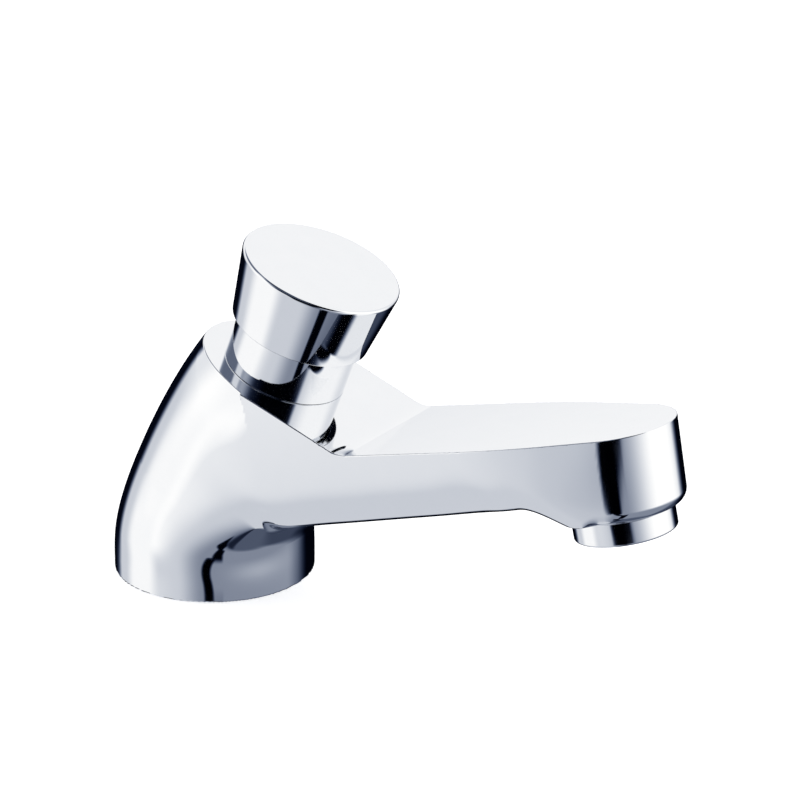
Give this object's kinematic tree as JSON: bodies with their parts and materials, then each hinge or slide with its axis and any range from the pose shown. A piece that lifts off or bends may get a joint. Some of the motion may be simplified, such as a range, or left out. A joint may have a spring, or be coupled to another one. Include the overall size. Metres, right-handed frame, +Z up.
{
  "type": "basin faucet",
  "caption": "Self-closing push-button basin tap: round leaning body, flat-topped tapering spout with a screwed-in outlet, chrome-plated, on a threaded inlet tail.",
  "frame": {"origin": "centre of the round base on the deck plane, on the inlet axis", "axes": "+Z up, spout points along +X, button axis leaves the origin and leans 21 degrees towards +X; the XZ plane is the plane of symmetry"},
  "size_m": [0.1505, 0.0502, 0.1393],
  "materials": {
    "body_chrome": "polished chrome plate",
    "collar_chrome": "polished chrome plate",
    "button_chrome": "polished chrome plate",
    "outlet_chrome": "polished chrome plate",
    "sleeve_brass": "turned brass",
    "spindle_brass": "ground brass",
    "piston_brass": "turned brass",
    "cup_brass": "pressed brass",
    "nut_brass": "cut brass",
    "seat_brass": "turned brass",
    "tail_brass": "cut brass thread",
    "back_nut_brass": "forged and faced brass",
    "clip_steel": "stamped spring steel",
    "spring_steel": "drawn stainless wire",
    "spring_washer_steel": "stamped stainless steel",
    "screen_steel": "woven stainless steel",
    "deck_washer_steel": "zinc-plated steel",
    "o_ring_rubber": "greased rubber",
    "lip_seal_rubber": "moulded rubber",
    "valve_washer_rubber": "moulded rubber",
    "gasket_rubber": "cut rubber sheet",
    "base_gasket_rubber": "moulded rubber",
    "deck_washer_rubber": "cut rubber sheet",
    "outlet_plastic": "moulded white plastic",
    "strainer_plastic": "moulded white plastic"
  },
  "bodies": {
    "tap": {"tap_body": "body_chrome", "neck_collar": "collar_chrome", "outlet_ring": "outlet_chrome", "cartridge_sleeve": "sleeve_brass", "valve_seat": "seat_brass", "inlet_tail": "tail_brass", "back_nut": "back_nut_brass", "return_spring": "spring_steel", "spring_washer": "spring_washer_steel", "outlet_screen": "screen_steel", "deck_washer_steel": "deck_washer_steel", "cartridge_o_ring": "o_ring_rubber", "collar_o_ring": "o_ring_rubber", "spindle_o_ring": "o_ring_rubber", "seat_gasket": "gasket_rubber", "outlet_washer": "gasket_rubber", "tail_seal": "gasket_rubber", "base_gasket": "base_gasket_rubber", "deck_washer_rubber": "deck_washer_rubber", "flow_straightener": "outlet_plastic", "inlet_strainer": "strainer_plastic"},
    "button": {"push_button": "button_chrome", "spindle": "spindle_brass", "piston": "piston_brass", "piston_lip_seal": "lip_seal_rubber", "piston_clip": "clip_steel", "valve_washer": "valve_washer_rubber", "washer_cup": "cup_brass", "spindle_nut": "nut_brass"}
  },
  "joints": [
    {"name": "button_press", "type": "slide", "parent": "tap", "child": "button", "axis": [-0.3584, 0, -0.9336], "range_m": [0, 0.006], "stiffness_N_per_m": 1500, "springref_m": -0.005, "deforming": ["return_spring"]}
  ]
}
